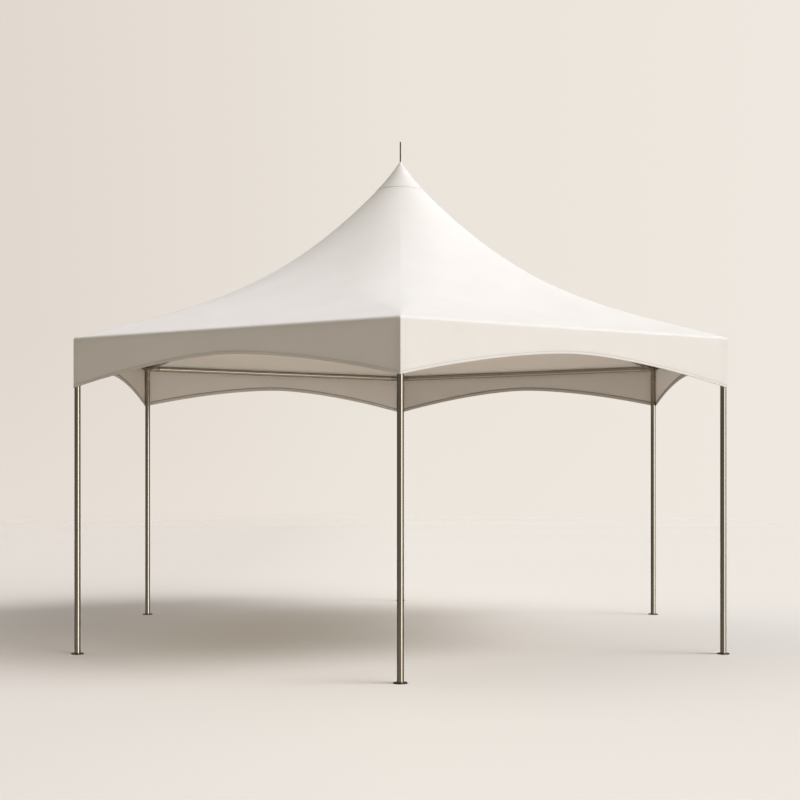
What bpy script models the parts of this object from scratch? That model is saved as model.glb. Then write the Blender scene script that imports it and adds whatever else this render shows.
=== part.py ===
"""Hexagonal high-peak frame tent.

Six tube legs stand on round foot plates and carry a ring of eave bars. A straight rafter climbs from
each corner to a crown hub, a short mast stands on the hub, and the fabric roof is drawn down from the
mast head to the eaves, where it folds over the bars and hangs as six arched valances.

Metres, +Z up. The origin is on the ground in the middle of the plan, and one leg stands towards -Y.
"""

import math

import bmesh
import bpy
from mathutils import Euler, Matrix, Vector

# Plan
CORNER_NAMES = ("front", "front_right", "back_right", "back", "back_left", "front_left")
SIDE_NAMES = ("front_right", "right", "back_right", "back_left", "left", "front_left")
FIRST_CORNER = math.radians(-90)   # direction of the front leg
STEP = math.radians(60)            # from one corner to the next
HALF_STEP = STEP / 2
LEG_CIRCLE = 3.0                   # centre of the plan to each leg, and leg to leg

# Heights
EAVE = 2.545                       # outer edge of the roof
PEAK = 4.31                        # top of the fabric
VALANCE_CORNER = 2.14              # lower edge of a valance at its corners
VALANCE_RISE = 0.205               # how far the arched edge climbs to the middle of a side
FINIAL_TOP = 4.49

# Tube, 48.3 mm outside with a 2 mm wall
TUBE = 0.02415
BORE = 0.02215
TUBE_SIDES = 16
SPIGOT = 0.0212                    # plugs that slide into the tubes
SPIGOT_LENGTH = 0.1
SPIGOT_CHAMFER = 0.003

# Fabric, thicker than the real 0.6 mm cloth so that it is a solid
FABRIC = 0.004
SEAT = 0.0005                      # fabric to tube
GAP = 0.0003                       # between pieces that touch

# Foot plate
PLATE = 0.05                       # radius
PLATE_THICK = 0.008
PLATE_CHAMFER = 0.0015
PLATE_SIDES = 24

# Corner fitting: one arm for each tube that meets there
ARM = 0.12                         # centre of the corner to the end of a tube
LEG_ARM_TOP = 0.015                # above the centre, under the fabric
BAR_ARM_START = -0.004             # just past the centre, so the two arms close the corner

# Crown hub, where the rafters meet
HUB = 0.075                        # radius of the drum
HUB_BELOW = 0.075                  # drum below and above the point where the rafters aim
HUB_ABOVE = 0.065
HUB_CHAMFER = 0.006
HUB_ARM_START = 0.05
HUB_ARM = 0.15
HUB_SIDES = 24
CROWN_DROP = 0.06                  # below the line of the hips, to keep the rafters clear of the fillets

# Peak
CAP = 0.219                        # radius of the seam at the cap's lower edge
HEAD = 0.055                       # widest radius of the mast head
HEAD_RIM = 0.012                   # height of its upright rim
HEAD_TAPER = 0.035                 # from the rim down to the mast
HEAD_LIP = 0.0025                  # flat lip round the finial's socket
HEAD_STEPS = 3                     # facets of its crest
FINIAL = 0.006
FINIAL_SOCKET = 0.0064
FINIAL_DEPTH = 0.06                # how far the rod goes into the mast head
FINIAL_TIP = 0.003                 # radius of the rod's blunt end
FINIAL_SIDES = 12
HEAD_SIDES = 16
CAP_RINGS = 6

# Roof surface: height falls from the peak to the eave as three terms of what is left of the hip
STRAIGHT_SHARE = 0.524
SWEEP_SHARE = 0.44
SWEEP_POWER = 2.75
TIP_SHARE = 0.036
TIP_POWER = 19
ROUND_SHARE = 0.93                 # radius of the cap's round section, as a share of its hexagon's corners
ROUND_REACH = 0.2                  # share of the hip over which the round section ends
FILLET_REACH = 0.42                # share of the hip over which its sharp corner becomes a fillet
CREASE = math.radians(6.5)         # half of the fold that stays along a filleted hip
PANEL_SMOOTH = math.radians(25)    # facets that meet at less than this are shaded as one surface
PANEL_ROWS = 12
PANEL_COLUMNS = 6
ROW_POWER = 1.5                    # rows and rings crowd towards the peak by this power
ARCH_POWER = 1.65
VALANCE_COLUMNS = 20

# Worked out from the values above
FABRIC_OUT = TUBE + SEAT + FABRIC
FABRIC_CIRCLE = LEG_CIRCLE + FABRIC_OUT / math.cos(HALF_STEP)
FABRIC_FLAT = FABRIC_CIRCLE * math.cos(HALF_STEP)
ROUND_CIRCLE = FABRIC_CIRCLE * ROUND_SHARE
LEG_FLAT = LEG_CIRCLE * math.cos(HALF_STEP)
RISE = PEAK - EAVE
FACE_SLOPE = RISE * STRAIGHT_SHARE / FABRIC_FLAT
RAFTER_SLOPE = RISE * STRAIGHT_SHARE / FABRIC_CIRCLE - CROWN_DROP / LEG_CIRCLE
UNDER_FABRIC = EAVE + FACE_SLOPE * (FABRIC_FLAT - LEG_FLAT) - FABRIC
BAR_LEVEL = UNDER_FABRIC - (TUBE + SEAT) / math.cos(math.atan(FACE_SLOPE))
CROWN_LEVEL = BAR_LEVEL + RAFTER_SLOPE * LEG_CIRCLE
RAFTER_LINE = math.hypot(LEG_CIRCLE, CROWN_LEVEL - BAR_LEVEL)


def clear_scene():
    """Remove every object that the new file starts with."""
    for each in list(bpy.data.objects):
        bpy.data.objects.remove(each, do_unlink=True)


def material(name, colour, roughness, metallic):
    """Plain finish: a linear colour, a roughness and how metallic it is."""
    made = bpy.data.materials.new(name)
    made.use_nodes = True
    shader = made.node_tree.nodes["Principled BSDF"]
    shader.inputs["Base Color"].default_value = (*colour, 1.0)
    shader.inputs["Roughness"].default_value = roughness
    shader.inputs["Metallic"].default_value = metallic
    return made


def place(piece, name, collection, surface, location=(0, 0, 0), rotation=None, parent=None):
    """Name a piece, give it its material and stand it where it belongs."""
    piece.name = name
    collection.objects.link(piece)
    piece.data.materials.clear()
    piece.data.materials.append(surface)
    piece.location = location
    if rotation is not None:
        piece.rotation_euler = rotation
    piece.parent = parent
    return piece


def turned(profile, sides):
    """Object turned about Z from (radius, height) points that run down its outer side.

    A profile that ends on the axis makes a solid, and any other is closed into a ring.
    """
    mesh = bpy.data.meshes.new("turned")
    edges = [(i, i + 1) for i in range(len(profile) - 1)]
    if profile[0][0] > 0:
        edges.append((len(profile) - 1, 0))
    mesh.from_pydata([(radius, 0, height) for radius, height in profile], edges, [])
    piece = bpy.data.objects.new("turned", mesh)
    screw = piece.modifiers.new("turn", "SCREW")
    screw.steps = sides
    screw.render_steps = sides
    screw.use_merge_vertices = True
    screw.merge_threshold = 0.00005
    return piece


def tube(length):
    """Cut length of the frame's tube standing on Z = 0."""
    return turned([(TUBE, length), (TUBE, 0), (BORE, 0), (BORE, length)], TUBE_SIDES)


def plug_profile(end):
    """Plug that a tube slides over, from its tip down to where it leaves its fitting at end."""
    tip = end + SPIGOT_LENGTH
    return [
        (0, tip),
        (SPIGOT - SPIGOT_CHAMFER, tip),
        (SPIGOT, tip - SPIGOT_CHAMFER),
        (SPIGOT, end),
    ]


def arm_profile(start, end):
    """Arm of a fitting, as thick as the tube up to end, then its plug."""
    return [*plug_profile(end), (TUBE, end), (TUBE, start), (0, start)]


def aimed(direction):
    """Rotation that turns Z to a direction and keeps Y as upright as it can be."""
    return Vector(direction).to_track_quat("Z", "Y").to_euler()


def united(solids):
    """One object from overlapping solids, which are used up."""
    scene = bpy.context.scene.collection
    for solid in solids:
        scene.objects.link(solid)
    base = solids[0]
    for other in solids[1:]:
        join = base.modifiers.new("join", "BOOLEAN")
        join.operation = "UNION"
        join.solver = "EXACT"
        join.object = other
    bpy.context.view_layer.update()
    mesh = bpy.data.meshes.new_from_object(base.evaluated_get(bpy.context.evaluated_depsgraph_get()))
    mesh.transform(base.matrix_world)
    for solid in solids:
        bpy.data.objects.remove(solid)
    return bpy.data.objects.new("united", mesh)


def thickened(cage, shift):
    """Closed object from an open cage, whose second skin is each point moved by shift, shaded smooth."""
    old = set(cage.verts)
    bmesh.ops.extrude_face_region(cage, geom=list(cage.faces))
    for point in cage.verts:
        if point not in old:
            point.co = shift(point.co)
    bmesh.ops.recalc_face_normals(cage, faces=list(cage.faces))
    mesh = bpy.data.meshes.new("thickened")
    cage.to_mesh(mesh)
    cage.free()
    mesh.shade_smooth()
    mesh.set_sharp_from_angle(angle=PANEL_SMOOTH)
    return bpy.data.objects.new("thickened", mesh)


def roof_height(share):
    """Height of the fabric's upper face at a share of the way down the hip."""
    left = 1 - share
    fall = STRAIGHT_SHARE * left + SWEEP_SHARE * left**SWEEP_POWER + TIP_SHARE * left**TIP_POWER
    return EAVE + RISE * fall


def hexagon_radius(flat, growth, turn):
    """Distance from the centre of a hexagon to its side, at an angle turn from the side's middle.

    flat is the distance to the middle. Growth from 0 to 1 rounds the corners with a fillet that grows
    from nothing to the whole side, where a slight crease is left at each corner.
    """
    fillet = growth * flat
    bend = HALF_STEP - growth * CREASE
    middle_x = flat - fillet
    middle_y = math.tan(HALF_STEP) * (middle_x + fillet * math.cos(bend)) - fillet * math.sin(bend)
    turn = abs(turn)
    if math.tan(turn) * flat <= middle_y:
        return flat / math.cos(turn)
    ahead = middle_x * math.cos(turn) + middle_y * math.sin(turn)
    aside = middle_x * math.sin(turn) - middle_y * math.cos(turn)
    return ahead + math.sqrt(max(0.0, fillet**2 - aside**2))


def roof_radius(share, turn):
    """Distance from the axis to the fabric, at an angle turn from the middle of a side.

    The section is round at the cap's seam. It becomes a hexagon with round corners, which grow sharp
    on the way down to the eaves.
    """
    past_cap = max(0.0, share - CAP / ROUND_CIRCLE)
    roundness = math.exp(-((past_cap / ROUND_REACH) ** 2))
    growth = 1 - math.exp(-(((1 - share) / FILLET_REACH) ** 2))
    hexagon = hexagon_radius(share * FABRIC_FLAT, growth, turn)
    return roundness * share * ROUND_CIRCLE + (1 - roundness) * hexagon


def half_angle(radius):
    """Half the angle of a panel at a radius, leaving half a gap at the hip."""
    return HALF_STEP - GAP / 2 / radius


def roof_panel():
    """Gore of the roof between two hips, its middle along +X."""
    first = (CAP + GAP) / ROUND_CIRCLE
    cage = bmesh.new()
    bmesh.ops.create_grid(cage, x_segments=PANEL_ROWS, y_segments=PANEL_COLUMNS, size=1)
    for point in cage.verts:
        down = (point.co.x + 1) / 2
        share = first + (1 - first) * down**ROW_POWER
        turn = point.co.y * half_angle(share * FABRIC_CIRCLE)
        radius = roof_radius(share, turn)
        point.co = (radius * math.cos(turn), radius * math.sin(turn), roof_height(share))
    return thickened(cage, lambda point: point - Vector((0, 0, FABRIC)))


def arch(across):
    """Height of a valance's lower edge, from -1 at one corner to 1 at the other."""
    return VALANCE_CORNER + VALANCE_RISE * (1 - abs(across) ** ARCH_POWER)


def valance():
    """Hanging strip along one side with its arched lower edge, its middle along +X."""
    top = EAVE - FABRIC - GAP
    widest = FABRIC_FLAT * math.tan(half_angle(FABRIC_CIRCLE))
    inside = (FABRIC_FLAT - FABRIC) / FABRIC_FLAT
    cage = bmesh.new()
    bmesh.ops.create_grid(cage, x_segments=1, y_segments=VALANCE_COLUMNS, size=1)
    for point in cage.verts:
        across = point.co.y
        height = top if point.co.x > 0 else arch(across)
        point.co = (FABRIC_FLAT, widest * across, height)
    return thickened(cage, lambda point: Vector((point.x * inside, point.y * inside, point.z)))


def foot_plate():
    """Round plate on the ground with the plug that holds the leg."""
    profile = [
        *plug_profile(PLATE_THICK),
        (PLATE - PLATE_CHAMFER, PLATE_THICK),
        (PLATE, PLATE_THICK - PLATE_CHAMFER),
        (PLATE, 0),
        (0, 0),
    ]
    return turned(profile, PLATE_SIDES)


def corner_fitting():
    """Welded elbow for a leg, two eave bars and a rafter, for a corner along +X, centred on the axes."""
    leg_arm = turned(arm_profile(-LEG_ARM_TOP, ARM), TUBE_SIDES)
    leg_arm.rotation_euler = (math.pi, 0, 0)
    arms = [leg_arm]
    for side in (-1, 1):
        bar_arm = turned(arm_profile(BAR_ARM_START, ARM), TUBE_SIDES)
        toward = math.pi - side * (math.pi / 2 - HALF_STEP)
        bar_arm.rotation_euler = aimed((math.cos(toward), math.sin(toward), 0))
        arms.append(bar_arm)
    rafter_arm = turned(arm_profile(0, ARM), TUBE_SIDES)
    rafter_arm.rotation_euler = aimed((-1, 0, RAFTER_SLOPE))
    arms.append(rafter_arm)
    return united(arms)


def crown_hub():
    """Drum with an arm down to each rafter and a plug on top for the mast, centred where they aim."""
    profile = [
        *plug_profile(HUB_ABOVE),
        (HUB - HUB_CHAMFER, HUB_ABOVE),
        (HUB, HUB_ABOVE - HUB_CHAMFER),
        (HUB, HUB_CHAMFER - HUB_BELOW),
        (HUB - HUB_CHAMFER, -HUB_BELOW),
        (0, -HUB_BELOW),
    ]
    solids = [turned(profile, HUB_SIDES)]
    for corner in range(len(CORNER_NAMES)):
        toward = FIRST_CORNER + corner * STEP
        arm = turned(arm_profile(HUB_ARM_START, HUB_ARM), TUBE_SIDES)
        arm.rotation_euler = aimed((math.cos(toward), math.sin(toward), -RAFTER_SLOPE))
        solids.append(arm)
    return united(solids)


def cap_height(radius):
    """Height of the cap's upper face at a radius."""
    return roof_height(radius / ROUND_CIRCLE)


def under_cap(radius):
    """Height of the mast head's crest at a radius, just clear of the cap's lower face."""
    return cap_height(radius) - FABRIC - 2 * SEAT


def peak_cap():
    """Round fabric cap over the mast head, with a hole for the finial."""
    hole = FINIAL + SEAT
    radii = [hole + (CAP - hole) * (ring / CAP_RINGS) ** ROW_POWER for ring in range(CAP_RINGS + 1)]
    outer = [(radius, cap_height(radius)) for radius in radii]
    inner = [(radius, height - FABRIC) for radius, height in reversed(outer)]
    return turned(outer + inner, len(SIDE_NAMES) * PANEL_COLUMNS)


def mast_head(shoulder):
    """Turned head that carries the cap, plugged into the mast below shoulder, with the finial's socket."""
    neck = FINIAL_SOCKET + HEAD_LIP
    radii = [neck + (HEAD - neck) * step / HEAD_STEPS for step in range(HEAD_STEPS + 1)]
    crest = [(radius, under_cap(radius)) for radius in radii]
    socket = crest[0][1] - FINIAL_DEPTH
    profile = [
        (0, socket),
        (FINIAL_SOCKET, socket),
        (FINIAL_SOCKET, crest[0][1]),
        *crest,
        (HEAD, shoulder + HEAD_TAPER),
        (TUBE, shoulder),
        (SPIGOT, shoulder),
        (SPIGOT, shoulder - SPIGOT_LENGTH + SPIGOT_CHAMFER),
        (SPIGOT - SPIGOT_CHAMFER, shoulder - SPIGOT_LENGTH),
        (0, shoulder - SPIGOT_LENGTH),
    ]
    return turned(profile, HEAD_SIDES), socket


def finial(length):
    """Slim rod with a blunt tip."""
    profile = [
        (0, length),
        (FINIAL_TIP, length),
        (FINIAL, length - FINIAL),
        (FINIAL, 0),
        (0, 0),
    ]
    return turned(profile, FINIAL_SIDES)


def build():
    """Make each shape once, stand a copy of it at every corner or side, and finish with the peak."""
    clear_scene()
    parts = bpy.data.collections.new("hexagonal_frame_tent")
    bpy.context.scene.collection.children.link(parts)
    middle = bpy.data.objects.new("plan_middle", None)
    parts.objects.link(middle)

    satin_steel = material("satin_steel", (0.42, 0.38, 0.32), 0.32, 1.0)
    dark_steel = material("dark_steel", (0.10, 0.09, 0.075), 0.45, 1.0)
    white_fabric = material("white_fabric", (0.86, 0.84, 0.80), 0.6, 0.0)

    shapes = {
        "plate": foot_plate(),
        "leg": tube(BAR_LEVEL - ARM - PLATE_THICK - 2 * GAP),
        "fitting": corner_fitting(),
        "bar": tube(LEG_CIRCLE - 2 * (ARM + GAP)),
        "rafter": tube(RAFTER_LINE - ARM - HUB_ARM - 2 * GAP),
        "panel": roof_panel(),
        "valance": valance(),
    }
    reach = ARM + GAP
    for k, corner in enumerate(CORNER_NAMES):
        turn = FIRST_CORNER + k * STEP
        plate_spot = Vector((LEG_CIRCLE * math.cos(turn), LEG_CIRCLE * math.sin(turn), 0))
        leg_foot = plate_spot + Vector((0, 0, PLATE_THICK + GAP))
        joint = plate_spot + Vector((0, 0, BAR_LEVEL))
        around = Euler((0, 0, turn))
        uphill = (Vector((0, 0, CROWN_LEVEL)) - joint).normalized()
        rafter_foot = joint + uphill * reach

        plate = shapes["plate"].copy()
        place(plate, f"base_plate_{corner}", parts, dark_steel, plate_spot, around, middle)
        leg = shapes["leg"].copy()
        place(leg, f"leg_{corner}", parts, satin_steel, leg_foot, around, middle)
        fitting = shapes["fitting"].copy()
        place(fitting, f"corner_fitting_{corner}", parts, satin_steel, joint, around, middle)
        rafter = shapes["rafter"].copy()
        place(rafter, f"hip_rafter_{corner}", parts, satin_steel, rafter_foot, aimed(uphill), middle)

    for k, side in enumerate(SIDE_NAMES):
        turn = FIRST_CORNER + k * STEP
        start = Vector((LEG_CIRCLE * math.cos(turn), LEG_CIRCLE * math.sin(turn), BAR_LEVEL))
        end = Matrix.Rotation(STEP, 3, "Z") @ start
        along = (end - start).normalized()
        bar_start = start + along * reach
        facing = Euler((0, 0, turn + HALF_STEP))

        bar = shapes["bar"].copy()
        place(bar, f"eave_bar_{side}", parts, satin_steel, bar_start, aimed(along), middle)
        panel = shapes["panel"].copy()
        place(panel, f"roof_panel_{side}", parts, white_fabric, rotation=facing, parent=middle)
        strip = shapes["valance"].copy()
        place(strip, f"valance_{side}", parts, white_fabric, rotation=facing, parent=middle)

    for shape in shapes.values():
        bpy.data.objects.remove(shape)

    shoulder = under_cap(HEAD) - HEAD_RIM - HEAD_TAPER
    mast_foot = CROWN_LEVEL + HUB_ABOVE + GAP
    mast = tube(shoulder - GAP - mast_foot)
    head, socket = mast_head(shoulder)
    rod_foot = socket + GAP
    rod = finial(FINIAL_TOP - rod_foot)
    place(crown_hub(), "crown_hub", parts, satin_steel, (0, 0, CROWN_LEVEL), parent=middle)
    place(mast, "centre_mast", parts, satin_steel, (0, 0, mast_foot), parent=middle)
    place(head, "mast_head", parts, satin_steel, parent=middle)
    place(rod, "finial_rod", parts, dark_steel, (0, 0, rod_foot), parent=middle)
    place(peak_cap(), "peak_cap", parts, white_fabric, parent=middle)


build()
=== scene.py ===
"""Looks of the hexagonal frame tent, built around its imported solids.

The file follows the tent as it is put up: foot plates, legs, corner fittings, eave bars, rafters, crown
hub, mast and mast head, then the cloth roof with its valances, its cap and the finial. The view and the
light come last. Metres, +Z up, the origin on the ground in the middle of the plan, one leg towards -Y.
"""

import math

import bmesh
import bpy
import numpy as np
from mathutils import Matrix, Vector


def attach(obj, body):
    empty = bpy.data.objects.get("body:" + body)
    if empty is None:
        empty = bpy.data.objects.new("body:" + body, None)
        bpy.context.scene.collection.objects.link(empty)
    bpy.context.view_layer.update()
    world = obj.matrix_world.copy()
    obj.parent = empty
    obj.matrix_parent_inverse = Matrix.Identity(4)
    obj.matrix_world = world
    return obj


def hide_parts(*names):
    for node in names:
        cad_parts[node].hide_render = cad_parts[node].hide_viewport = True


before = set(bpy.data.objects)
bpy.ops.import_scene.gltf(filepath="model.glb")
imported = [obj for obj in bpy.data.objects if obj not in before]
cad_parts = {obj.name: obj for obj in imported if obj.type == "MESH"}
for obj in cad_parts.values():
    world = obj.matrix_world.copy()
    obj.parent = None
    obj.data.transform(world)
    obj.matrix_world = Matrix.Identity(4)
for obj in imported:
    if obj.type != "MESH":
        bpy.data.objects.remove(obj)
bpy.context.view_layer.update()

# Foot plates. Each leg stands on a round plate cut from 8 mm steel, with a plug welded upright in its
# middle that the leg slides over. The plate is blackened and lightly waxed, and its rim is broken by a
# small chamfer that wears bright.

CORNERS = ("front", "front_right", "back_right", "back", "back_left", "front_left")
STEP = math.radians(60)
FIRST_CORNER = math.radians(-90)
LEG_CIRCLE = 3.0
ROUND_SIDES = 64
RIM_BREAK = 0.0004           # width of the edge that tumbling breaks on turned and cut pieces

PLATE = 0.05
PLATE_THICK = 0.008
PLATE_CHAMFER = 0.0015
PLUG = 0.0212
PLUG_LENGTH = 0.1
PLUG_CHAMFER = 0.003


def linear(code):
    """Linear colour of an sRGB hex code."""
    shares = np.array([int(code[i : i + 2], 16) for i in (1, 3, 5)]) / 255
    low = shares / 12.92
    high = ((shares + 0.055) / 1.055) ** 2.4
    return (*np.where(shares <= 0.04045, low, high), 1.0)


def node(tree, kind, links=None, **settings):
    """Add a node. Settings that name an input set that socket, and the others set the node itself."""
    made = tree.nodes.new(kind)
    for name, value in settings.items():
        if hasattr(made, name):
            setattr(made, name, value)
        else:
            made.inputs[name.replace("_", " ")].default_value = value
    for name, source in (links or {}).items():
        tree.links.new(source, made.inputs[name])
    return made


def finish_named(name):
    """Empty material with its shader node, ready for a pattern."""
    made = bpy.data.materials.new(name)
    made.use_nodes = True
    return made, made.node_tree, made.node_tree.nodes["Principled BSDF"]


def turned(profile, sides=ROUND_SIDES):
    """Grid of points for a profile turned about Z: (r cos t, r sin t, h), with t from 0 to 360 degrees."""
    radius, height = np.asarray(profile, dtype=float).T
    turn = np.linspace(0, 2 * math.pi, sides + 1)
    around = [np.outer(radius, np.cos(turn)), np.outer(radius, np.sin(turn))]
    return np.stack([*around, np.repeat(height[:, None], sides + 1, axis=1)], axis=-1)


def lengths(points, axis):
    """Distance run along one direction of a grid, from 0 at its first point."""
    run = np.cumsum(np.linalg.norm(np.diff(points, axis=axis), axis=-1), axis=axis)
    first = np.zeros_like(np.take(run, [0], axis=axis))
    return np.concatenate([first, run], axis=axis)


def surface(name, grids, uvs=None, values=None):
    """Object whose mesh joins grids of points, each rows by columns, at every place where they meet.

    Its UV map is in metres: across and then down each grid, unless uvs gives other ones. values are
    numbers per point, kept as the attribute that has their name.
    """
    points, quads, corners, start = [], [], [], 0
    for k, grid in enumerate(grids):
        rows, columns, _ = grid.shape
        index = start + np.arange(rows * columns).reshape(rows, columns)
        quad = np.stack([index[:-1, :-1], index[1:, :-1], index[1:, 1:], index[:-1, 1:]], axis=-1)
        quads.append(quad.reshape(-1, 4))
        points.append(grid.reshape(-1, 3))
        uv = uvs[k] if uvs else np.stack([lengths(grid, 1), lengths(grid, 0)], axis=-1)
        corners.append(uv.reshape(-1, 2)[quads[-1].ravel() - start])
        start += rows * columns
    mesh = bpy.data.meshes.new(name)
    mesh.from_pydata(np.concatenate(points).tolist(), [], np.concatenate(quads).tolist())
    mesh.uv_layers.new(name="surface").data.foreach_set("uv", np.concatenate(corners).ravel())
    for label, numbers in (values or {}).items():
        mesh.attributes.new(label, "FLOAT", "POINT").data.foreach_set("value", numbers.ravel())
    mesh.polygons.foreach_set("use_smooth", np.ones(len(mesh.polygons), dtype=bool))
    joined = bmesh.new()
    joined.from_mesh(mesh)
    bmesh.ops.remove_doubles(joined, verts=joined.verts, dist=2e-6)
    joined.to_mesh(mesh)
    joined.free()
    piece = bpy.data.objects.new(name, mesh)
    bpy.context.scene.collection.objects.link(piece)
    return piece


def broken_edges(piece, width, angle=35):
    """Bevel the edges sharper than angle, as a file or a tumbler breaks them, and keep the flats flat."""
    bevel = piece.modifiers.new("broken_edges", "BEVEL")
    bevel.width = width
    bevel.segments = 2
    bevel.limit_method = "ANGLE"
    bevel.angle_limit = math.radians(angle)
    shade = piece.modifiers.new("flats", "WEIGHTED_NORMAL")
    shade.keep_sharp = True


def swung(grid, turn):
    """Grid swung about the tent's axis."""
    cosine, sine = math.cos(turn), math.sin(turn)
    return grid @ np.array([(cosine, sine, 0), (-sine, cosine, 0), (0, 0, 1)])


def finished(piece, surface_finish, slot, *solids):
    """Give a piece its material and let it stand for its solids. Its slot argument is not used."""
    piece.data.materials.append(surface_finish)
    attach(piece, "root")
    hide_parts(*solids)
    return piece


def blackened_steel():
    """Hot-blackened and waxed mild steel: nearly black, soft shine, with grey where it has been rubbed."""
    made, tree, shader = finish_named("blackened_steel")
    place = node(tree, "ShaderNodeTexCoord").outputs["Object"]
    rubbed = node(tree, "ShaderNodeTexNoise", {"Vector": place}, Scale=70.0, Detail=6.0)
    grain = node(tree, "ShaderNodeTexNoise", {"Vector": place}, Scale=900.0, Detail=2.0)
    tone = node(tree, "ShaderNodeValToRGB", {"Fac": rubbed.outputs["Fac"]})
    tone.color_ramp.elements[0].position = 0.35
    tone.color_ramp.elements[0].color = linear("#34302b")
    tone.color_ramp.elements[1].position = 0.75
    tone.color_ramp.elements[1].color = linear("#5b544a")
    rough = node(tree, "ShaderNodeMapRange", {"Value": rubbed.outputs["Fac"]}, To_Min=0.34, To_Max=0.5)
    bump = node(tree, "ShaderNodeBump", {"Height": grain.outputs["Fac"]}, Strength=0.12, Distance=0.0004)
    tree.links.new(tone.outputs["Color"], shader.inputs["Base Color"])
    tree.links.new(rough.outputs["Result"], shader.inputs["Roughness"])
    tree.links.new(bump.outputs["Normal"], shader.inputs["Normal"])
    shader.inputs["Metallic"].default_value = 1.0
    return made


BLACKENED = blackened_steel()
PLATE_PROFILE = [
    (0, PLATE_THICK + PLUG_LENGTH),
    (PLUG - PLUG_CHAMFER, PLATE_THICK + PLUG_LENGTH),
    (PLUG, PLATE_THICK + PLUG_LENGTH - PLUG_CHAMFER),
    (PLUG, PLATE_THICK),
    (PLATE - PLATE_CHAMFER, PLATE_THICK),
    (PLATE, PLATE_THICK - PLATE_CHAMFER),
    (PLATE, 0),
    (0, 0),
]

for k, corner in enumerate(CORNERS):
    foot = swung(np.array((LEG_CIRCLE, 0.0, 0.0)), FIRST_CORNER + k * STEP)
    plate = surface(f"foot_plate_{corner}", [turned(PLATE_PROFILE) + foot])
    broken_edges(plate, RIM_BREAK)
    finished(plate, BLACKENED, "dark_steel", f"base_plate_{corner}")

# Legs. Drawn steel tube, 48.3 mm across with a 2 mm wall, nickel plated and brushed along its length. The
# brushing gives the soft bright stripe that runs down each leg.

TUBE = 0.02415
BORE = 0.02215
GAP = 0.0003
BAR_LEVEL = 2.52495
ARM = 0.12


def tube_wall(length):
    """Wall of a tube on Z = 0: down its outer face, round its foot, up its bore and over the top."""
    return turned([(TUBE, length), (TUBE, 0), (BORE, 0), (BORE, length), (TUBE, length)])


def brushed_nickel():
    """Nickel-plated tube, brushed along its length: warm grey, a narrow bright glint, faint long streaks.

    The real lines are 0.1 mm wide. They are drawn 3 mm wide and 600 mm long, so that they show. The
    specular tint dims the edges of the tube, where the plating reflects a dark room at a low angle.
    """
    made, tree, shader = finish_named("brushed_nickel")
    place = node(tree, "ShaderNodeUVMap", uv_map="surface").outputs["UV"]
    along = node(tree, "ShaderNodeMapping", {"Vector": place})
    along.inputs["Scale"].default_value = (1 / 0.003, 1 / 0.6, 1.0)
    lines = node(tree, "ShaderNodeTexNoise", {"Vector": along.outputs["Vector"]}, Scale=1.0, Detail=3.0)
    tone = node(tree, "ShaderNodeValToRGB", {"Fac": lines.outputs["Fac"]})
    tone.color_ramp.elements[0].position = 0.3
    tone.color_ramp.elements[0].color = linear("#9f978c")
    tone.color_ramp.elements[1].position = 0.7
    tone.color_ramp.elements[1].color = linear("#aba398")
    rough = node(tree, "ShaderNodeMapRange", {"Value": lines.outputs["Fac"]}, To_Min=0.15, To_Max=0.2)
    bump = node(tree, "ShaderNodeBump", {"Height": lines.outputs["Fac"]}, Strength=0.04, Distance=0.0002)
    tree.links.new(tone.outputs["Color"], shader.inputs["Base Color"])
    tree.links.new(rough.outputs["Result"], shader.inputs["Roughness"])
    tree.links.new(bump.outputs["Normal"], shader.inputs["Normal"])
    shader.inputs["Metallic"].default_value = 1.0
    shader.inputs["Specular Tint"].default_value = (0.5, 0.47, 0.42, 1.0)
    return made


NICKEL = brushed_nickel()

for k, corner in enumerate(CORNERS):
    foot = swung(np.array((LEG_CIRCLE, 0.0, PLATE_THICK + GAP)), FIRST_CORNER + k * STEP)
    wall = tube_wall(BAR_LEVEL - ARM - PLATE_THICK - 2 * GAP)
    leg = surface(f"leg_tube_{corner}", [wall + foot])
    broken_edges(leg, RIM_BREAK)
    finished(leg, NICKEL, "satin_steel", f"leg_{corner}")

# Corner fittings. A cast and fettled elbow with an arm for the leg, one for each eave bar and one for the
# rafter. A plug on each arm slides into its tube, where a sprung button holds it.

RAFTER_SLOPE = 0.284924
LEG_ARM_TOP = 0.015
BAR_ARM_START = -0.004       # the arms start a little past the joint, so that they melt together
BUTTON = 0.0045
BUTTON_HEIGHT = 0.0028
BUTTON_ROOT = -0.002         # how far its stem goes down into the tube
BUTTON_PLACE = 0.045
ELBOW_VOXEL = 0.0022
MELT_PASSES = 4


def aimed(grid, foot, direction):
    """Grid turned so that its Z axis runs along direction, then moved to foot."""
    up = np.array(direction, dtype=float) / np.linalg.norm(direction)
    level = np.cross((0.0, 0.0, 1.0), up)
    if np.linalg.norm(level) < 1e-9:
        level = np.array((1.0, 0.0, 0.0))
    level /= np.linalg.norm(level)
    return grid @ np.stack([level, np.cross(up, level), up]) + np.asarray(foot)


def arm_grid(start, end):
    """Solid arm along Z from start to end, as thick as the tube."""
    return turned([(0, end), (TUBE, end), (TUBE, start), (0, start)])


def plug_grid(end):
    """Plug that goes into the tube from the end of an arm."""
    tip, foot = end + PLUG_LENGTH, end - PLUG_CHAMFER
    nose = [(0, tip), (PLUG - PLUG_CHAMFER, tip), (PLUG, tip - PLUG_CHAMFER)]
    return turned([*nose, (PLUG, foot), (0, foot)])


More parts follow.
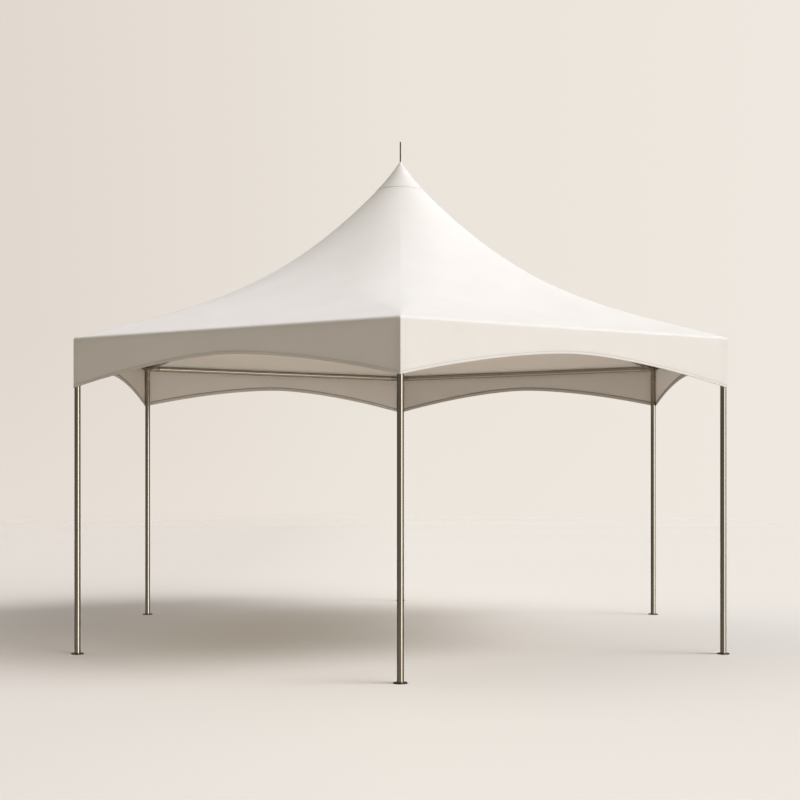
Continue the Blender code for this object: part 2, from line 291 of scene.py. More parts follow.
def button_grid():
    """Domed head of a sprung button, h = height * sqrt(1 - (r / radius)^2), standing on Z = 0."""
    radius = BUTTON * np.cos(np.linspace(math.pi / 2, 0, 9))
    height = BUTTON_HEIGHT * np.sqrt(np.maximum(0, 1 - (radius / BUTTON) ** 2))
    return turned([*zip(radius, height), (BUTTON, BUTTON_ROOT), (0, BUTTON_ROOT)], 24)


def melted(name, grids, voxel):
    """Mesh of overlapping grids run together into one skin, with a fillet where they meet."""
    piece = surface(name, grids)
    skin = piece.modifiers.new("skin", "REMESH")
    skin.mode = "VOXEL"
    skin.voxel_size = voxel
    soft = piece.modifiers.new("soft", "SMOOTH")
    soft.factor = 0.5
    soft.iterations = MELT_PASSES
    bpy.context.view_layer.update()
    mesh = bpy.data.meshes.new_from_object(piece.evaluated_get(bpy.context.evaluated_depsgraph_get()))
    bpy.data.objects.remove(piece)
    return mesh


def mesh_with(base, grids):
    """Copy of a mesh with more closed grids beside it."""
    extra = surface("extra", grids)
    both = bmesh.new()
    both.from_mesh(base)
    both.from_mesh(extra.data)
    bpy.data.objects.remove(extra)
    mesh = bpy.data.meshes.new("fitting")
    both.to_mesh(mesh)
    both.free()
    mesh.polygons.foreach_set("use_smooth", np.ones(len(mesh.polygons), dtype=bool))
    return mesh


def moved_mesh(name, base, turn, shift):
    """Object with a copy of a mesh swung about the axis and then shifted."""
    mesh = base.copy()
    mesh.name = name
    points = np.empty(len(mesh.vertices) * 3)
    mesh.vertices.foreach_get("co", points)
    placed = swung(points.reshape(-1, 3), turn) + np.asarray(shift)
    mesh.vertices.foreach_set("co", placed.ravel())
    mesh.update()
    piece = bpy.data.objects.new(name, mesh)
    bpy.context.scene.collection.objects.link(piece)
    return piece


def cast_steel():
    """Fettled and satin-plated casting: the tubes' warm grey, duller, with the mould's fine grain."""
    made, tree, shader = finish_named("cast_steel")
    place = node(tree, "ShaderNodeTexCoord").outputs["Object"]
    grain = node(tree, "ShaderNodeTexNoise", {"Vector": place}, Scale=600.0, Detail=3.0)
    cloud = node(tree, "ShaderNodeTexNoise", {"Vector": place}, Scale=25.0, Detail=3.0)
    tone = node(tree, "ShaderNodeValToRGB", {"Fac": cloud.outputs["Fac"]})
    tone.color_ramp.elements[0].position = 0.35
    tone.color_ramp.elements[0].color = linear("#8f877a")
    tone.color_ramp.elements[1].position = 0.7
    tone.color_ramp.elements[1].color = linear("#a9a193")
    rough = node(tree, "ShaderNodeMapRange", {"Value": cloud.outputs["Fac"]}, To_Min=0.36, To_Max=0.5)
    bump = node(tree, "ShaderNodeBump", {"Height": grain.outputs["Fac"]}, Strength=0.2, Distance=0.0005)
    tree.links.new(tone.outputs["Color"], shader.inputs["Base Color"])
    tree.links.new(rough.outputs["Result"], shader.inputs["Roughness"])
    tree.links.new(bump.outputs["Normal"], shader.inputs["Normal"])
    shader.inputs["Metallic"].default_value = 1.0
    return made


CAST = cast_steel()

# Arm directions for a corner along +X: down the leg, along both bars and up the rafter.
BAR_WAYS = [(-0.5, side * math.sqrt(0.75), 0.0) for side in (-1, 1)]
ARM_WAYS = [(0.0, 0.0, -1.0), *BAR_WAYS, (-1.0, 0.0, RAFTER_SLOPE)]
ARM_STARTS = (-LEG_ARM_TOP, BAR_ARM_START, BAR_ARM_START, 0.0)
BUTTON_WAYS = [(-1.0, 0.0, 0.0), (0.0, 0.0, -1.0), (0.0, 0.0, -1.0), (-RAFTER_SLOPE, 0.0, -1.0)]

arms = [aimed(arm_grid(start, ARM), (0, 0, 0), way) for way, start in zip(ARM_WAYS, ARM_STARTS)]
plugs = [aimed(plug_grid(ARM), (0, 0, 0), way) for way in ARM_WAYS]
buttons = []
for way, out in zip(ARM_WAYS, BUTTON_WAYS):
    along = np.array(way) / np.linalg.norm(way)
    outward = np.array(out) / np.linalg.norm(out)
    buttons.append(aimed(button_grid(), along * (ARM + BUTTON_PLACE) + outward * TUBE, outward))
elbow = mesh_with(melted("elbow", arms, ELBOW_VOXEL), plugs + buttons)

for k, corner in enumerate(CORNERS):
    turn = FIRST_CORNER + k * STEP
    joint = swung(np.array((LEG_CIRCLE, 0.0, BAR_LEVEL)), turn)
    elbow_piece = moved_mesh(f"corner_elbow_{corner}", elbow, turn, joint)
    finished(elbow_piece, CAST, "satin_steel", f"corner_fitting_{corner}")

# Eave bars. The same tube as the legs, one along each side, under the fold of the cloth.

SIDES = ("front_right", "right", "back_right", "back_left", "left", "front_left")

for k, side in enumerate(SIDES):
    turn = FIRST_CORNER + k * STEP
    near = swung(np.array((LEG_CIRCLE, 0.0, BAR_LEVEL)), turn)
    far = swung(near, STEP)
    along = (far - near) / LEG_CIRCLE
    wall = tube_wall(LEG_CIRCLE - 2 * (ARM + GAP))
    bar = surface(f"eave_tube_{side}", [aimed(wall, near + along * (ARM + GAP), along)])
    broken_edges(bar, RIM_BREAK)
    finished(bar, NICKEL, "satin_steel", f"eave_bar_{side}")

# Hip rafters. Straight tubes that climb from the corners to the crown hub and carry the lower half of
# each hip of the roof.

CROWN_LEVEL = BAR_LEVEL + RAFTER_SLOPE * LEG_CIRCLE
HUB_ARM = 0.15

for k, corner in enumerate(CORNERS):
    joint = swung(np.array((LEG_CIRCLE, 0.0, BAR_LEVEL)), FIRST_CORNER + k * STEP)
    uphill = np.array((0.0, 0.0, CROWN_LEVEL)) - joint
    climb = np.linalg.norm(uphill)
    uphill /= climb
    wall = tube_wall(climb - ARM - HUB_ARM - 2 * GAP)
    rafter = surface(f"rafter_tube_{corner}", [aimed(wall, joint + uphill * (ARM + GAP), uphill)])
    broken_edges(rafter, RIM_BREAK)
    finished(rafter, NICKEL, "satin_steel", f"hip_rafter_{corner}")

# Crown hub. A cast drum where the six rafters meet, with an arm and a plug for each of them and a plug on
# top for the mast.

HUB = 0.075
HUB_BELOW = 0.075
HUB_ABOVE = 0.065
HUB_CHAMFER = 0.006
HUB_ARM_START = 0.05
HUB_VOXEL = 0.0026

drum = turned(
    [
        (0, HUB_ABOVE),
        (HUB - HUB_CHAMFER, HUB_ABOVE),
        (HUB, HUB_ABOVE - HUB_CHAMFER),
        (HUB, HUB_CHAMFER - HUB_BELOW),
        (HUB - HUB_CHAMFER, -HUB_BELOW),
        (0, -HUB_BELOW),
    ]
)
hub_ways = [swung(np.array((1.0, 0.0, -RAFTER_SLOPE)), FIRST_CORNER + k * STEP) for k in range(6)]
hub_arms = [aimed(arm_grid(HUB_ARM_START, HUB_ARM), (0, 0, 0), way) for way in hub_ways]
hub_plugs = [aimed(plug_grid(HUB_ARM), (0, 0, 0), way) for way in hub_ways]
hub_plugs.append(plug_grid(HUB_ABOVE))
for way in hub_ways:
    along = way / np.linalg.norm(way)
    below = np.cross(np.cross(along, (0, 0, -1)), along)
    below /= np.linalg.norm(below)
    hub_plugs.append(aimed(button_grid(), along * (HUB_ARM + BUTTON_PLACE) + below * TUBE, below))
hub_mesh = mesh_with(melted("hub", [drum, *hub_arms], HUB_VOXEL), hub_plugs)
hub = moved_mesh("crown_hub_casting", hub_mesh, 0.0, (0, 0, CROWN_LEVEL))
finished(hub, CAST, "satin_steel", "crown_hub")

# Mast and mast head. A short tube stands on the hub and carries a turned head, whose domed top bears on
# the cloth under the cap and holds the finial in its socket.

EAVE = 2.545
PEAK = 4.31
RISE = PEAK - EAVE
FABRIC_CIRCLE = 3.03308
ROUND_SHARE = 0.93           # the hips lie closer in where the section is round
ROUND_CIRCLE = FABRIC_CIRCLE * ROUND_SHARE
STRAIGHT_SHARE = 0.524
SWEEP_SHARE = 0.44
SWEEP_POWER = 2.75
TIP_SHARE = 0.036
TIP_POWER = 19
CLOTH_SPACE = 0.004
SEAT = 0.0005
HEAD = 0.055
HEAD_RIM = 0.012
HEAD_TAPER = 0.035
FINIAL = 0.006
FINIAL_SOCKET = 0.0064
FINIAL_DEPTH = 0.06
SOCKET_LIP = 0.0025


def roof_height(share):
    """Height of the cloth at a share of the way down the hip.

    What is left of the hip, 1 - share, gives a straight fall, a sweep as its 2.75th power and a small
    drawn-out tip as its 19th power.
    """
    left = 1 - np.asarray(share)
    fall = STRAIGHT_SHARE * left + SWEEP_SHARE * left**SWEEP_POWER + TIP_SHARE * left**TIP_POWER
    return EAVE + RISE * fall


def under_cloth(radius):
    """Height of the mast head's crest, just under the cloth."""
    return roof_height(radius / ROUND_CIRCLE) - CLOTH_SPACE - 2 * SEAT


shoulder = float(under_cloth(HEAD)) - HEAD_RIM - HEAD_TAPER
mast_foot = CROWN_LEVEL + HUB_ABOVE + GAP
mast = surface("mast_tube", [tube_wall(shoulder - mast_foot - GAP) + np.array((0, 0, mast_foot))])
broken_edges(mast, RIM_BREAK)
finished(mast, NICKEL, "satin_steel", "centre_mast")

crest = np.linspace(FINIAL_SOCKET + SOCKET_LIP, HEAD, 9)
socket_floor = float(under_cloth(crest[0])) - FINIAL_DEPTH
head = surface(
    "turned_mast_head",
    [
        turned(
            [
                (0, socket_floor),
                (FINIAL_SOCKET, socket_floor),
                (FINIAL_SOCKET, under_cloth(crest[0])),
                *zip(crest, under_cloth(crest)),
                (HEAD, shoulder + HEAD_TAPER),
                (TUBE, shoulder),
                (PLUG, shoulder),
                (PLUG, shoulder - PLUG_LENGTH + PLUG_CHAMFER),
                (PLUG - PLUG_CHAMFER, shoulder - PLUG_LENGTH),
                (0, shoulder - PLUG_LENGTH),
            ]
        )
    ],
)
broken_edges(head, 2 * RIM_BREAK)
finished(head, CAST, "satin_steel", "mast_head")

# Finial. A slim blackened rod with a rounded tip that stands out of the peak.

FINIAL_TOP = 4.49

tip_turn = np.linspace(math.pi / 2, 0, 9)
tip = [(FINIAL * math.cos(t), FINIAL_TOP - FINIAL + FINIAL * math.sin(t)) for t in tip_turn]
rod_foot = socket_floor + GAP
rod = surface("finial_rod_turned", [turned([*tip, (FINIAL, rod_foot), (0, rod_foot)], 32)])
broken_edges(rod, RIM_BREAK)
finished(rod, BLACKENED, "dark_steel", "finial_rod")

# Canopy. One sheet of coated polyester: six gores welded along the hips, drawn down from the cap to the
# eaves, folded over the bars and hung as six arched valances with a turned hem. It is stretched tight,
# so it has no free folds, and each section of the roof runs from round under the cap to hexagonal.

CLOTH_OUT = 0.02865          # axis of a bar or leg to the cloth's outer face
CLOTH_THICK = 0.0012
HEM = 0.036                  # depth of the hem inside
HEM_TURN = 0.0013            # radius of the hem's turned edge
HEM_BULGE = 0.0008
HEM_SEAM = 0.019             # stitching line outside, above the lower edge
CAP = 0.219                  # radius of the cap's lower edge
CAP_LAP = 0.13               # the sheet goes on under the cap to this radius
ROUND_REACH = 0.2            # share of the hip over which the round section ends
FILLET_REACH = 0.42          # share of the hip over which its sharp corner becomes a fillet
CREASE = math.radians(6.5)   # half of the fold that stays along a filleted hip
CORNER = 0.006               # radius of the sewn corners of the valances and of the lower hips
VALANCE_CORNER = 2.14
VALANCE_RISE = 0.205
ARCH_POWER = 1.65
CORNER_BAND = 0.038          # from the sewn corner of a valance to the stitching beside it
WAVES = ((0.0016, 4.1, 1.0), (0.0009, 9.7, 2.3))   # height, waves and phase of the cloth's two ripples
PINCH = 0.0009               # depth and width of the groove that the hem's stitching pulls in
PINCH_WIDTH = 0.002
HALF = STEP / 2
BAR_FLAT = LEG_CIRCLE * math.cos(HALF)           # axis of the tent to an eave bar
CLOTH_FLAT = FABRIC_CIRCLE * math.cos(HALF)      # axis of the tent to where roof and valance would meet
FOLD_TURN = math.pi / 2 - math.atan(RISE * STRAIGHT_SHARE / CLOTH_FLAT)
FOLD_SHARE = (BAR_FLAT + CLOTH_OUT * math.cos(FOLD_TURN)) / CLOTH_FLAT
FOLD_AXIS = float(roof_height(FOLD_SHARE)) - CLOTH_OUT * math.sin(FOLD_TURN)

# Rows of the mesh crowd round the cap's edge and the hem. Metres from the cap's edge, and above the
# valance's lower edge on its outer and inner face.
CAP_ROWS = np.array([-0.05, -0.02, -0.004, 0, 0.002, 0.005, 0.009, 0.014, 0.016, 0.018, 0.02, 0.022, 0.028])
OUTER_ROWS = np.array([0.05, 0.034, 0.0235, 0.0205, HEM_SEAM, 0.0175, 0.0155, 0.013, 0.0095, 0.006, 0.003])
INNER_ROWS = np.array([0.006, 0.023, 0.0295, HEM])
ROOF_ROWS = 51
DROP_ROWS = 13
ROW_POWER = 1.25


def smooth_step(value):
    """0 below 0, 1 above 1, and 3 v^2 - 2 v^3 between."""
    share = np.clip(value, 0, 1)
    return share**2 * (3 - 2 * share)


def gore_columns():
    """Turn of the cloth's normal, and place along the side from -1 to 1, for each column of one gore.

    The first and last columns lie on the hips. The cloth turns through 30 degrees towards each hip, and
    the columns crowd towards the legs, where the corner bands are.
    """
    near = np.array([0, 0.012, 0.024, 0.034, 0.0365, 0.038, 0.0395, 0.043, 0.06, 0.09, 0.13])
    off_leg = np.concatenate([near, np.linspace(0.18, LEG_CIRCLE / 2, 12)]) / (LEG_CIRCLE / 2)
    flat = np.concatenate([off_leg[:-1] - 1, (1 - off_leg)[::-1]])
    bend = HALF * np.array([1, 0.99, 0.9, 0.8, 0.7, 0.6, 0.5, 0.4, 0.3, 0.2, 0.1])
    ends = np.ones(len(bend))
    return np.concatenate([-bend, 0 * flat, bend[::-1]]), np.concatenate([-ends, flat, ends])


def plan_points(flat, fillet, bend, along, crease=0.0):
    """Rounded hexagon in plan, one side of it with its middle along +X, flat metres from the axis.

    Each corner is an arc of the fillet's radius and the side runs straight between two arcs:
    (flat - fillet + fillet cos t, along edge + fillet sin t). The arc's angle t stops short of the hip
    by the crease, and edge is where the arc has to start to end on the hip, at y = x tan 30.
    """
    turn = bend * (1 - crease / HALF)
    last = HALF - crease
    middle = flat - fillet
    edge = math.tan(HALF) * (middle + fillet * np.cos(last)) - fillet * np.sin(last)
    return middle + fillet * np.cos(turn), along * edge + fillet * np.sin(turn)


def roof_rows(bend, along):
    """Points of one gore from under the cap down to where the cloth starts to wrap the bar."""
    upper = np.concatenate([[CAP_LAP], CAP + CAP_ROWS]) / ROUND_CIRCLE
    down = np.linspace(0, 1, ROOF_ROWS + 1)[1:] ** ROW_POWER
    share = np.concatenate([upper, upper[-1] + (FOLD_SHARE - upper[-1]) * down])[:, None]
    flat = share * CLOTH_FLAT
    growth = 1 - np.exp(-(((1 - share) / FILLET_REACH) ** 2))
    x, y = plan_points(flat, CORNER + growth * (flat - CORNER), bend, along, growth * CREASE)
    past_cap = np.maximum(0, share - CAP / ROUND_CIRCLE)
    roundness = np.exp(-((past_cap / ROUND_REACH) ** 2))
    angle = np.arctan2(y, x)
    x = (1 - roundness) * x + roundness * share * ROUND_CIRCLE * np.cos(angle)
    y = (1 - roundness) * y + roundness * share * ROUND_CIRCLE * np.sin(angle)
    z = roof_height(share) + 0 * x
    return np.stack([x, y, z], axis=-1), share + 0 * x


def arch(along):
    """Height of a valance's lower edge: it climbs as 1 - |along|^1.65 from a corner to the middle."""
    return VALANCE_CORNER + VALANCE_RISE * (1 - np.abs(along) ** ARCH_POWER)


def valance_rows(bend, along, phase):
    """Points of one side from the fold over the bar, down the outside, round the lower edge and up the
    inside of the turned hem, and how far each point is above the edge.

    The wave across a side is w (1 - along^2) low^1.5, where w is two sines of along and low runs from 0
    at the bar to 1 at the edge. The hem swells as the root of a half sine, and its stitching pulls in a
    groove of the form depth exp(-(distance / width)^2).
    """
    wrap = np.linspace(FOLD_TURN, 0, 9)[1:, None]
    fold_x, fold_y = plan_points(BAR_FLAT + CLOTH_OUT * np.cos(wrap), CORNER, bend, along)
    fold_z = FOLD_AXIS + CLOTH_OUT * np.sin(wrap) + 0 * fold_x
    fold = np.stack([fold_x, fold_y, fold_z], axis=-1)

    edge = arch(along)[None, :]
    under = np.linspace(0, math.pi, 7)
    up = np.concatenate([OUTER_ROWS, HEM_TURN * (1 - np.sin(under)), INNER_ROWS])[:, None]
    turned_in = HEM_TURN * (1 - np.cos(under))
    inward = np.concatenate([0 * OUTER_ROWS, turned_in, 0 * INNER_ROWS + 2 * HEM_TURN])[:, None]
    drop = 1 - np.linspace(0, 1, DROP_ROWS + 2)[1:-1, None]
    hang = edge + up[0] + (FOLD_AXIS - edge - up[0]) * drop
    z = np.concatenate([hang, edge + up])
    above = z - edge
    inward = np.concatenate([0 * drop, inward])
    low = np.clip((FOLD_AXIS - z) / (FOLD_AXIS - VALANCE_CORNER), 0, 1)
    wave = sum(height * np.sin(count * along + shift * phase) for height, count, shift in WAVES)
    round_hem = np.maximum(0, np.sin(math.pi * np.clip(above / HEM_SEAM, 0, 1)))
    bulge = HEM_BULGE * np.sqrt(round_hem) * (inward == 0)
    pinch = PINCH * np.exp(-(((above - HEM_SEAM) / PINCH_WIDTH) ** 2))
    out = CLOTH_OUT + wave * (1 - along**2) * low**1.5 + bulge - pinch - inward
    x, y = plan_points(BAR_FLAT + out, CORNER + out - CLOTH_OUT, bend, along)
    return fold, np.stack([x, y, z], axis=-1), above


# How far a line on the cloth spreads to either side, and how dark it is, from 0 to 1. Some of the lines
# are stitched or welded seams, and some are painted shadow.
CAP_SHADOW_LINE = (0.003, 0.14)
CAP_WELD_LINE = (0.0022, 0.14)
CORNER_LINE = (0.0014, 0.15)
STITCH_LINE = (0.0025, 0.45)
HEM_EDGE_LINE = (0.003, 0.4)
CAP_LINES = (0.001, 0.018)   # from the cap's edge down to its shadow line and to its weld
# The last two rows carry a painted shadow along the hem's free edge inside.
FREE_EDGE_SHADOW = [[0.9], [1.0]]   # darkness of the last two rows, the hem's free edge inside


def line(distance, width, strength):
    """Mask of a dark line, stitched or painted shadow, at a distance from its middle: strength
    exp(-(distance / width)^2).
    """
    return strength * np.exp(-((distance / width) ** 2))


def gore(k):
    """Grid of one gore with its valance, its UV map in metres, and its mask of seams and painted shade.

    The mask is 1 where a line is darkest. Along the hem's free edge inside it paints a shadow, wider
    than the real one, so that it shows.
    """
    bend, along = gore_columns()
    roof, share = roof_rows(bend, along)
    fold, hang, above = valance_rows(bend, along, phase=1.7 * k)
    grid = np.concatenate([roof, fold, hang])
    uv = np.stack([grid[..., 1], lengths(grid, 0)], axis=-1)

    off_cap = share * ROUND_CIRCLE - CAP
    # A painted shadow line just under the cap's edge, and the cap's weld line further down.
    cap_shadow_and_weld = line(off_cap - CAP_LINES[0], *CAP_SHADOW_LINE) + line(off_cap - CAP_LINES[1], *CAP_WELD_LINE)
    off_leg = (1 - np.abs(along)) * LEG_CIRCLE / 2
    band = line(off_leg - CORNER_BAND, *CORNER_LINE)
    # The hem's stitching, a darker line along its lower edge, and a painted shadow along its free edge
    # inside.
    hem_seams_and_shadow = line(above - HEM_SEAM, *STITCH_LINE) + line(above, *HEM_EDGE_LINE)
    hem_seams_and_shadow[-2:] = FREE_EDGE_SHADOW
    seam_and_shade = np.concatenate([cap_shadow_and_weld, band + 0 * fold[..., 0], np.maximum(hem_seams_and_shadow, band)])
    return swung(grid, FIRST_CORNER + HALF + k * STEP), uv, np.clip(seam_and_shade, 0, 1)


WAVE_LENGTH = math.pi / 10   # of the wave texture at a scale of 1
THROUGH_SHARE = 0.33         # of the light that the cloth lets through


def coated_polyester():
    """White tent cloth, polyester coated on both sides: satin, faintly woven, and some light comes through.

    The yarns are 1 mm apart and are drawn 2.5 mm apart, so that they show close up. The mask attribute
    darkens the stitching, where the thread lies, the welds, and a line along the lower edge of each
    valance.
    It also holds painted shade: a shadow line under the cap's edge and a shadow along the hem's free edge.
    """
    made, tree, shader = finish_named("coated_polyester")
    place = node(tree, "ShaderNodeUVMap", uv_map="surface").outputs["UV"]
    yarns = WAVE_LENGTH / 0.0025
    warp = node(tree, "ShaderNodeTexWave", {"Vector": place}, bands_direction="X", Scale=yarns)
    weft = node(tree, "ShaderNodeTexWave", {"Vector": place}, bands_direction="Y", Scale=yarns)
    yarn_pair = {0: warp.outputs["Fac"], 1: weft.outputs["Fac"]}
    weave = node(tree, "ShaderNodeMath", yarn_pair, operation="MULTIPLY")
    cloud = node(tree, "ShaderNodeTexNoise", {"Vector": place}, Scale=1.6, Detail=4.0)
    tone = node(tree, "ShaderNodeValToRGB", {"Fac": cloud.outputs["Fac"]})
    tone.color_ramp.elements[0].position = 0.3
    tone.color_ramp.elements[0].color = linear("#dedad4")
    tone.color_ramp.elements[1].position = 0.7
    tone.color_ramp.elements[1].color = linear("#e2dfda")
    # Stitching and welds, and painted shade under the cap's edge and along the hem's free edge inside.
    seam_and_shade = node(tree, "ShaderNodeAttribute", attribute_name="seam_and_shade").outputs["Fac"]
    marked = node(tree, "ShaderNodeMix", {0: seam_and_shade, 6: tone.outputs["Color"]}, data_type="RGBA")
    marked.inputs[7].default_value = linear("#a39b8f")
    bump = node(tree, "ShaderNodeBump", {"Height": weave.outputs["Value"]}, Strength=0.12, Distance=0.0003)
    tree.links.new(marked.outputs[2], shader.inputs["Base Color"])
    tree.links.new(bump.outputs["Normal"], shader.inputs["Normal"])
    shader.inputs["Roughness"].default_value = 0.55
    through = node(tree, "ShaderNodeBsdfTranslucent", {"Color": marked.outputs[2]}).outputs["BSDF"]
    both = node(tree, "ShaderNodeMixShader", {1: shader.outputs["BSDF"], 2: through}, Fac=THROUGH_SHARE)
    tree.links.new(both.outputs["Shader"], tree.nodes["Material Output"].inputs["Surface"])
    return made


CLOTH = coated_polyester()
grids, uvs, seam_and_shade_masks = zip(*(gore(k) for k in range(6)))
canopy = surface("canopy_cloth", grids, uvs, {"seam_and_shade": np.stack(seam_and_shade_masks)})
wall = canopy.modifiers.new("cloth", "SOLIDIFY")
wall.thickness = CLOTH_THICK
wall.offset = -1
soft_solids = [f"roof_panel_{side}" for side in SIDES] + [f"valance_{side}" for side in SIDES]
finished(canopy, CLOTH, "white_fabric", *soft_solids)

# Peak cap. A small cone of the same cloth, lapped over the six gores and welded down, with a stiff turned
# edge. The finial goes through a hole in its tip.

CAP_LIFT = 0.0002
CAP_THICK = 0.0019
CAP_BEAD = 0.0008
CAP_BEAD_WIDTH = 0.005
CAP_RIM_SHADE = (0.0015, 0.12)
CAP_STEPS = np.linspace(0, 1, 40) ** 1.3

cap_radius = FINIAL + SEAT + (CAP - FINIAL - SEAT) * CAP_STEPS
bead = CAP_BEAD * np.exp(-(((CAP - cap_radius - CAP_BEAD_WIDTH) / CAP_BEAD_WIDTH) ** 2))
cap_inner = roof_height(cap_radius / ROUND_CIRCLE) + CAP_LIFT
cap_outer = cap_inner + CAP_THICK + bead
top = [*zip(cap_radius, cap_outer)]
cap_grid = turned([*top, *zip(cap_radius[::-1], cap_inner[::-1]), top[0]], 96)
# A painted shade along the cap's lower edge, where it lies on the gores.
cap_rim_shading = line(CAP - cap_radius, *CAP_RIM_SHADE)
cap_rim_shade_mask = np.concatenate([cap_rim_shading, cap_rim_shading[::-1], cap_rim_shading[:1]])[:, None] + 0 * cap_grid[..., 0]
cap = surface("peak_cap_cloth", [cap_grid], values={"seam_and_shade": cap_rim_shade_mask})
finished(cap, CLOTH, "white_fabric", "peak_cap")

# The cloth's cut: six gores with their valances and hems come to 32 square metres. Laid flat, the sheet
# measures 6.9 m across its sides and 8.0 m across its corners, down both slopes.

# The view. Eye level, 12.3 m from the middle of the tent, square to the front leg, with the horizon below
# the middle of the frame.

EYE = (0.0, -12.309, 1.4664)

camera = bpy.data.objects.new("camera", bpy.data.cameras.new("camera"))
bpy.context.scene.collection.objects.link(camera)
bpy.context.scene.camera = camera
camera.location = EYE
camera.rotation_euler = (math.pi / 2, 0.0, 0.0)
camera.data.lens = 60.45
camera.data.shift_x = -0.0005
camera.data.shift_y = 0.0897
camera.data.clip_end = 400.0
bpy.context.scene.view_settings.view_transform = "Standard"

# Floor and backdrop. A plain warm grey floor of matt paint that fades out into a far glowing backdrop in
# place of lit paper. Both have painted light: they are painted lighter on the right, where the light comes
# from.

FLOOR_SOLID = 12.0           # radius out to which the floor is whole
FLOOR_GONE = 40.0            # radius at which the backdrop has taken its place
FLOOR_REACH = 3.0            # from the middle of the floor to where its side tones are reached
BACKDROP = 120.0
# The floor's and the backdrop's tones run lighter to the right as painted light.
FLOOR_TONES = ("#bcb6ae", "#c4bfb6", "#c4bfb7")
BACKDROP_TONES = ("#e1d8cf", "#ebe4da", "#efe8e0")
HORIZON_TONES = ("#e6ddd4", "#ede6dc", "#efe8e0")
BACKDROP_REACH = 36.0        # from the middle of the view to its sides, at the backdrop
HAZE_FOOT = -2.5             # heights on the backdrop between which its horizon tones fade upwards
HAZE_TOP = 14.0


def lit_across(tree, place, reach, colours):
    """Colour that runs through three tones from left to right, from -reach to reach along X."""
    across = node(tree, "ShaderNodeSeparateXYZ", {"Vector": place}).outputs["X"]
    share = node(tree, "ShaderNodeMapRange", {"Value": across})
    share.inputs["From Min"].default_value = -reach
    share.inputs["From Max"].default_value = reach
    ramp = node(tree, "ShaderNodeValToRGB", {"Fac": share.outputs["Result"]})
    ramp.color_ramp.elements.new(0.5)
    for stop, colour in zip(ramp.color_ramp.elements, colours):
        stop.color = linear(colour)
    return ramp.outputs["Color"]


def matt_floor():
    """Matt studio floor: warm, with painted light a little brighter to the right, gone beyond the far ring.
    """
    made, tree, shader = finish_named("matt_floor")
    place = node(tree, "ShaderNodeTexCoord").outputs["Object"]
    tree.links.new(lit_across(tree, place, FLOOR_REACH, FLOOR_TONES), shader.inputs["Base Color"])
    shader.inputs["Roughness"].default_value = 0.9
    shader.inputs["Specular IOR Level"].default_value = 0.0
    radius = node(tree, "ShaderNodeVectorMath", {0: place}, operation="LENGTH").outputs["Value"]
    gone = node(tree, "ShaderNodeMapRange", {"Value": radius}, interpolation_type="SMOOTHSTEP")
    gone.inputs["From Min"].default_value = FLOOR_SOLID
    gone.inputs["From Max"].default_value = FLOOR_GONE
    below = node(tree, "ShaderNodeNewGeometry").outputs["Backfacing"]
    hidden = node(tree, "ShaderNodeMath", {0: gone.outputs["Result"], 1: below}, operation="MAXIMUM")
    clear = node(tree, "ShaderNodeBsdfTransparent")
    both = node(
        tree,
        "ShaderNodeMixShader",
        {"Fac": hidden.outputs["Value"], 1: shader.outputs["BSDF"], 2: clear.outputs["BSDF"]},
    )
    tree.links.new(both.outputs["Shader"], tree.nodes["Material Output"].inputs["Surface"])
    return made


def glowing_backdrop():
    """Glowing backdrop in place of lit paper, seen by the camera alone. Its light is painted on: darker
    on the left, lighter on the right.

    Its painted light grows a little brighter towards the horizon, so that the floor runs into it with no
    line between them.
    """
    made, tree, _ = finish_named("glowing_backdrop")
    place = node(tree, "ShaderNodeTexCoord").outputs["Object"]
    level = node(tree, "ShaderNodeSeparateXYZ", {"Vector": place}).outputs["Z"]
    haze = node(tree, "ShaderNodeMapRange", {"Value": level})
    haze.inputs["From Min"].default_value = HAZE_TOP
    haze.inputs["From Max"].default_value = HAZE_FOOT
    above = lit_across(tree, place, BACKDROP_REACH, BACKDROP_TONES)
    low = lit_across(tree, place, BACKDROP_REACH, HORIZON_TONES)
    paper = node(tree, "ShaderNodeMix", {0: haze.outputs["Result"], 6: above, 7: low}, data_type="RGBA")
    glow = node(tree, "ShaderNodeEmission", {"Color": paper.outputs[2]})
    tree.links.new(glow.outputs["Emission"], tree.nodes["Material Output"].inputs["Surface"])
    return made


rim = FLOOR_GONE * 1.2
floor = surface("floor", [turned([(0, 0), (rim, 0)], 96)])
floor.data.materials.append(matt_floor())
floor.visible_glossy = False
floor.visible_diffuse = False
half_turn = np.linspace(math.pi / 2, -math.pi / 2, 25)
ball = [(BACKDROP * math.cos(t), BACKDROP * math.sin(t)) for t in half_turn]
backdrop = surface("backdrop", [turned(ball, 48)])
backdrop.data.materials.append(glowing_backdrop())
backdrop.visible_diffuse = False
backdrop.visible_glossy = False
backdrop.visible_transmission = False
backdrop.visible_shadow = False

# Light. A soft key, high on the right, in a nearly dark room. A low soft box on the right in front draws
# the bright stripe down each leg, and a big one above it lights the near right side. Weak ones high on the
# left, behind and low all round fill the shadows, and a glow from below lights the inside.


def heading(turn, height):
    """Unit direction at an angle round from the front (-Y) towards +X, and at a height above the floor."""
    turn, height = math.radians(turn), math.radians(height)
    level = math.cos(height)
    return np.array((math.sin(turn) * level, -math.cos(turn) * level, math.sin(height)))


KEY = 2.24
KEY_COLOUR = (0.87, 0.89, 1.0)
KEY_WAY = heading(82, 42)
KEY_DISTANCE = 20
KEY_WIDTH = 27               # degrees across, as seen from the tent
WALLS = (0.018, 0.016, 0.014)
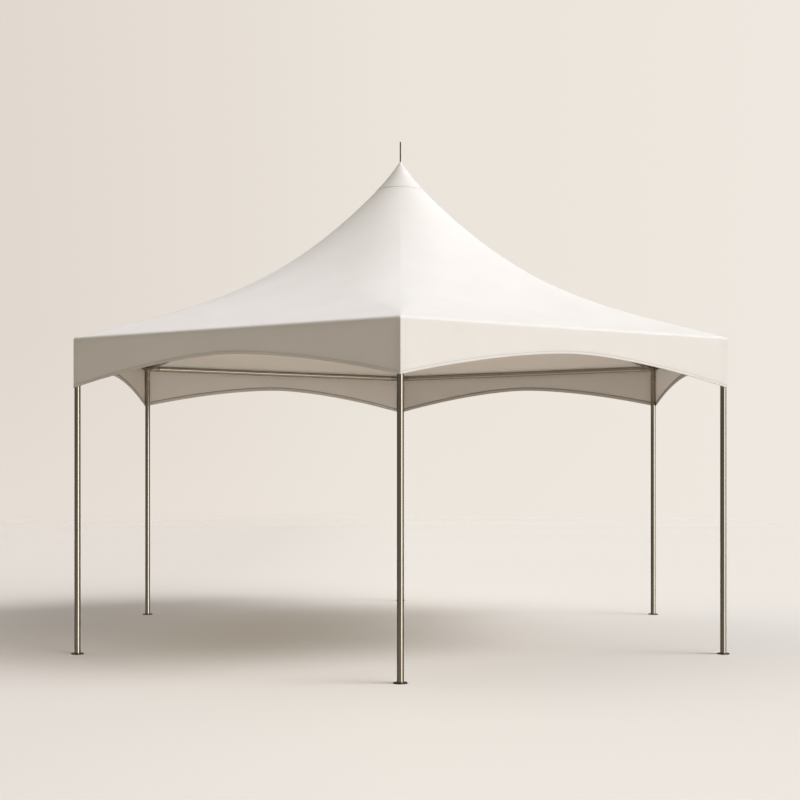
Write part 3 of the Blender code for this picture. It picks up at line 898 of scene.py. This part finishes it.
# Each soft box: degrees round from the front and up, degrees from its middle to the end of its full glow
# and to the end of its fall-off, and its glow.
SOFT_BOXES = [
    (50, 0, 6, 22, (3.7, 3.7, 3.65)),
    (60, 37, 8, 34, (4.85, 4.8, 4.75)),
    (-100, 45, 10, 42, (1.3, 1.2, 1.08)),
    (180, 60, 10, 50, (1.03, 1.08, 1.17)),
    (110, 20, 10, 45, (0.36, 0.36, 0.33)),
    (-40, 0, 20, 60, (0.16, 0.15, 0.135)),
    (-100, 20, 10, 50, (0.1, 0.1, 0.1)),
    (20, -20, 10, 50, (0.24, 0.2, 0.11)),
    (0, -90, 30, 95, (0.7, 0.59, 0.49)),
]

key_light = bpy.data.lights.new("key", "SUN")
key_light.energy = KEY
key_light.color = KEY_COLOUR
key_light.angle = math.radians(KEY_WIDTH)
key = bpy.data.objects.new("key", key_light)
bpy.context.scene.collection.objects.link(key)
key.location = KEY_WAY * KEY_DISTANCE
key.rotation_euler = Vector(-KEY_WAY).to_track_quat("-Z", "Y").to_euler()

world = bpy.data.worlds.new("room")
bpy.context.scene.world = world
world.use_nodes = True
room = world.node_tree
way = node(room, "ShaderNodeTexCoord").outputs["Generated"]
glow = node(room, "ShaderNodeCombineXYZ", X=WALLS[0], Y=WALLS[1], Z=WALLS[2]).outputs["Vector"]
for turn, height, full, gone, colour in SOFT_BOXES:
    near = node(room, "ShaderNodeVectorMath", {0: way}, operation="DOT_PRODUCT")
    near.inputs[1].default_value = heading(turn, height)
    nearness = near.outputs["Value"]
    share = node(room, "ShaderNodeMapRange", {"Value": nearness}, interpolation_type="SMOOTHSTEP")
    share.inputs["From Min"].default_value = math.cos(math.radians(gone))
    share.inputs["From Max"].default_value = math.cos(math.radians(full))
    bright = share.outputs["Result"]
    lit = node(room, "ShaderNodeVectorMath", {0: bright, 2: glow}, operation="MULTIPLY_ADD")
    lit.inputs[1].default_value = colour
    glow = lit.outputs["Vector"]
room.links.new(glow, room.nodes["Background"].inputs["Color"])
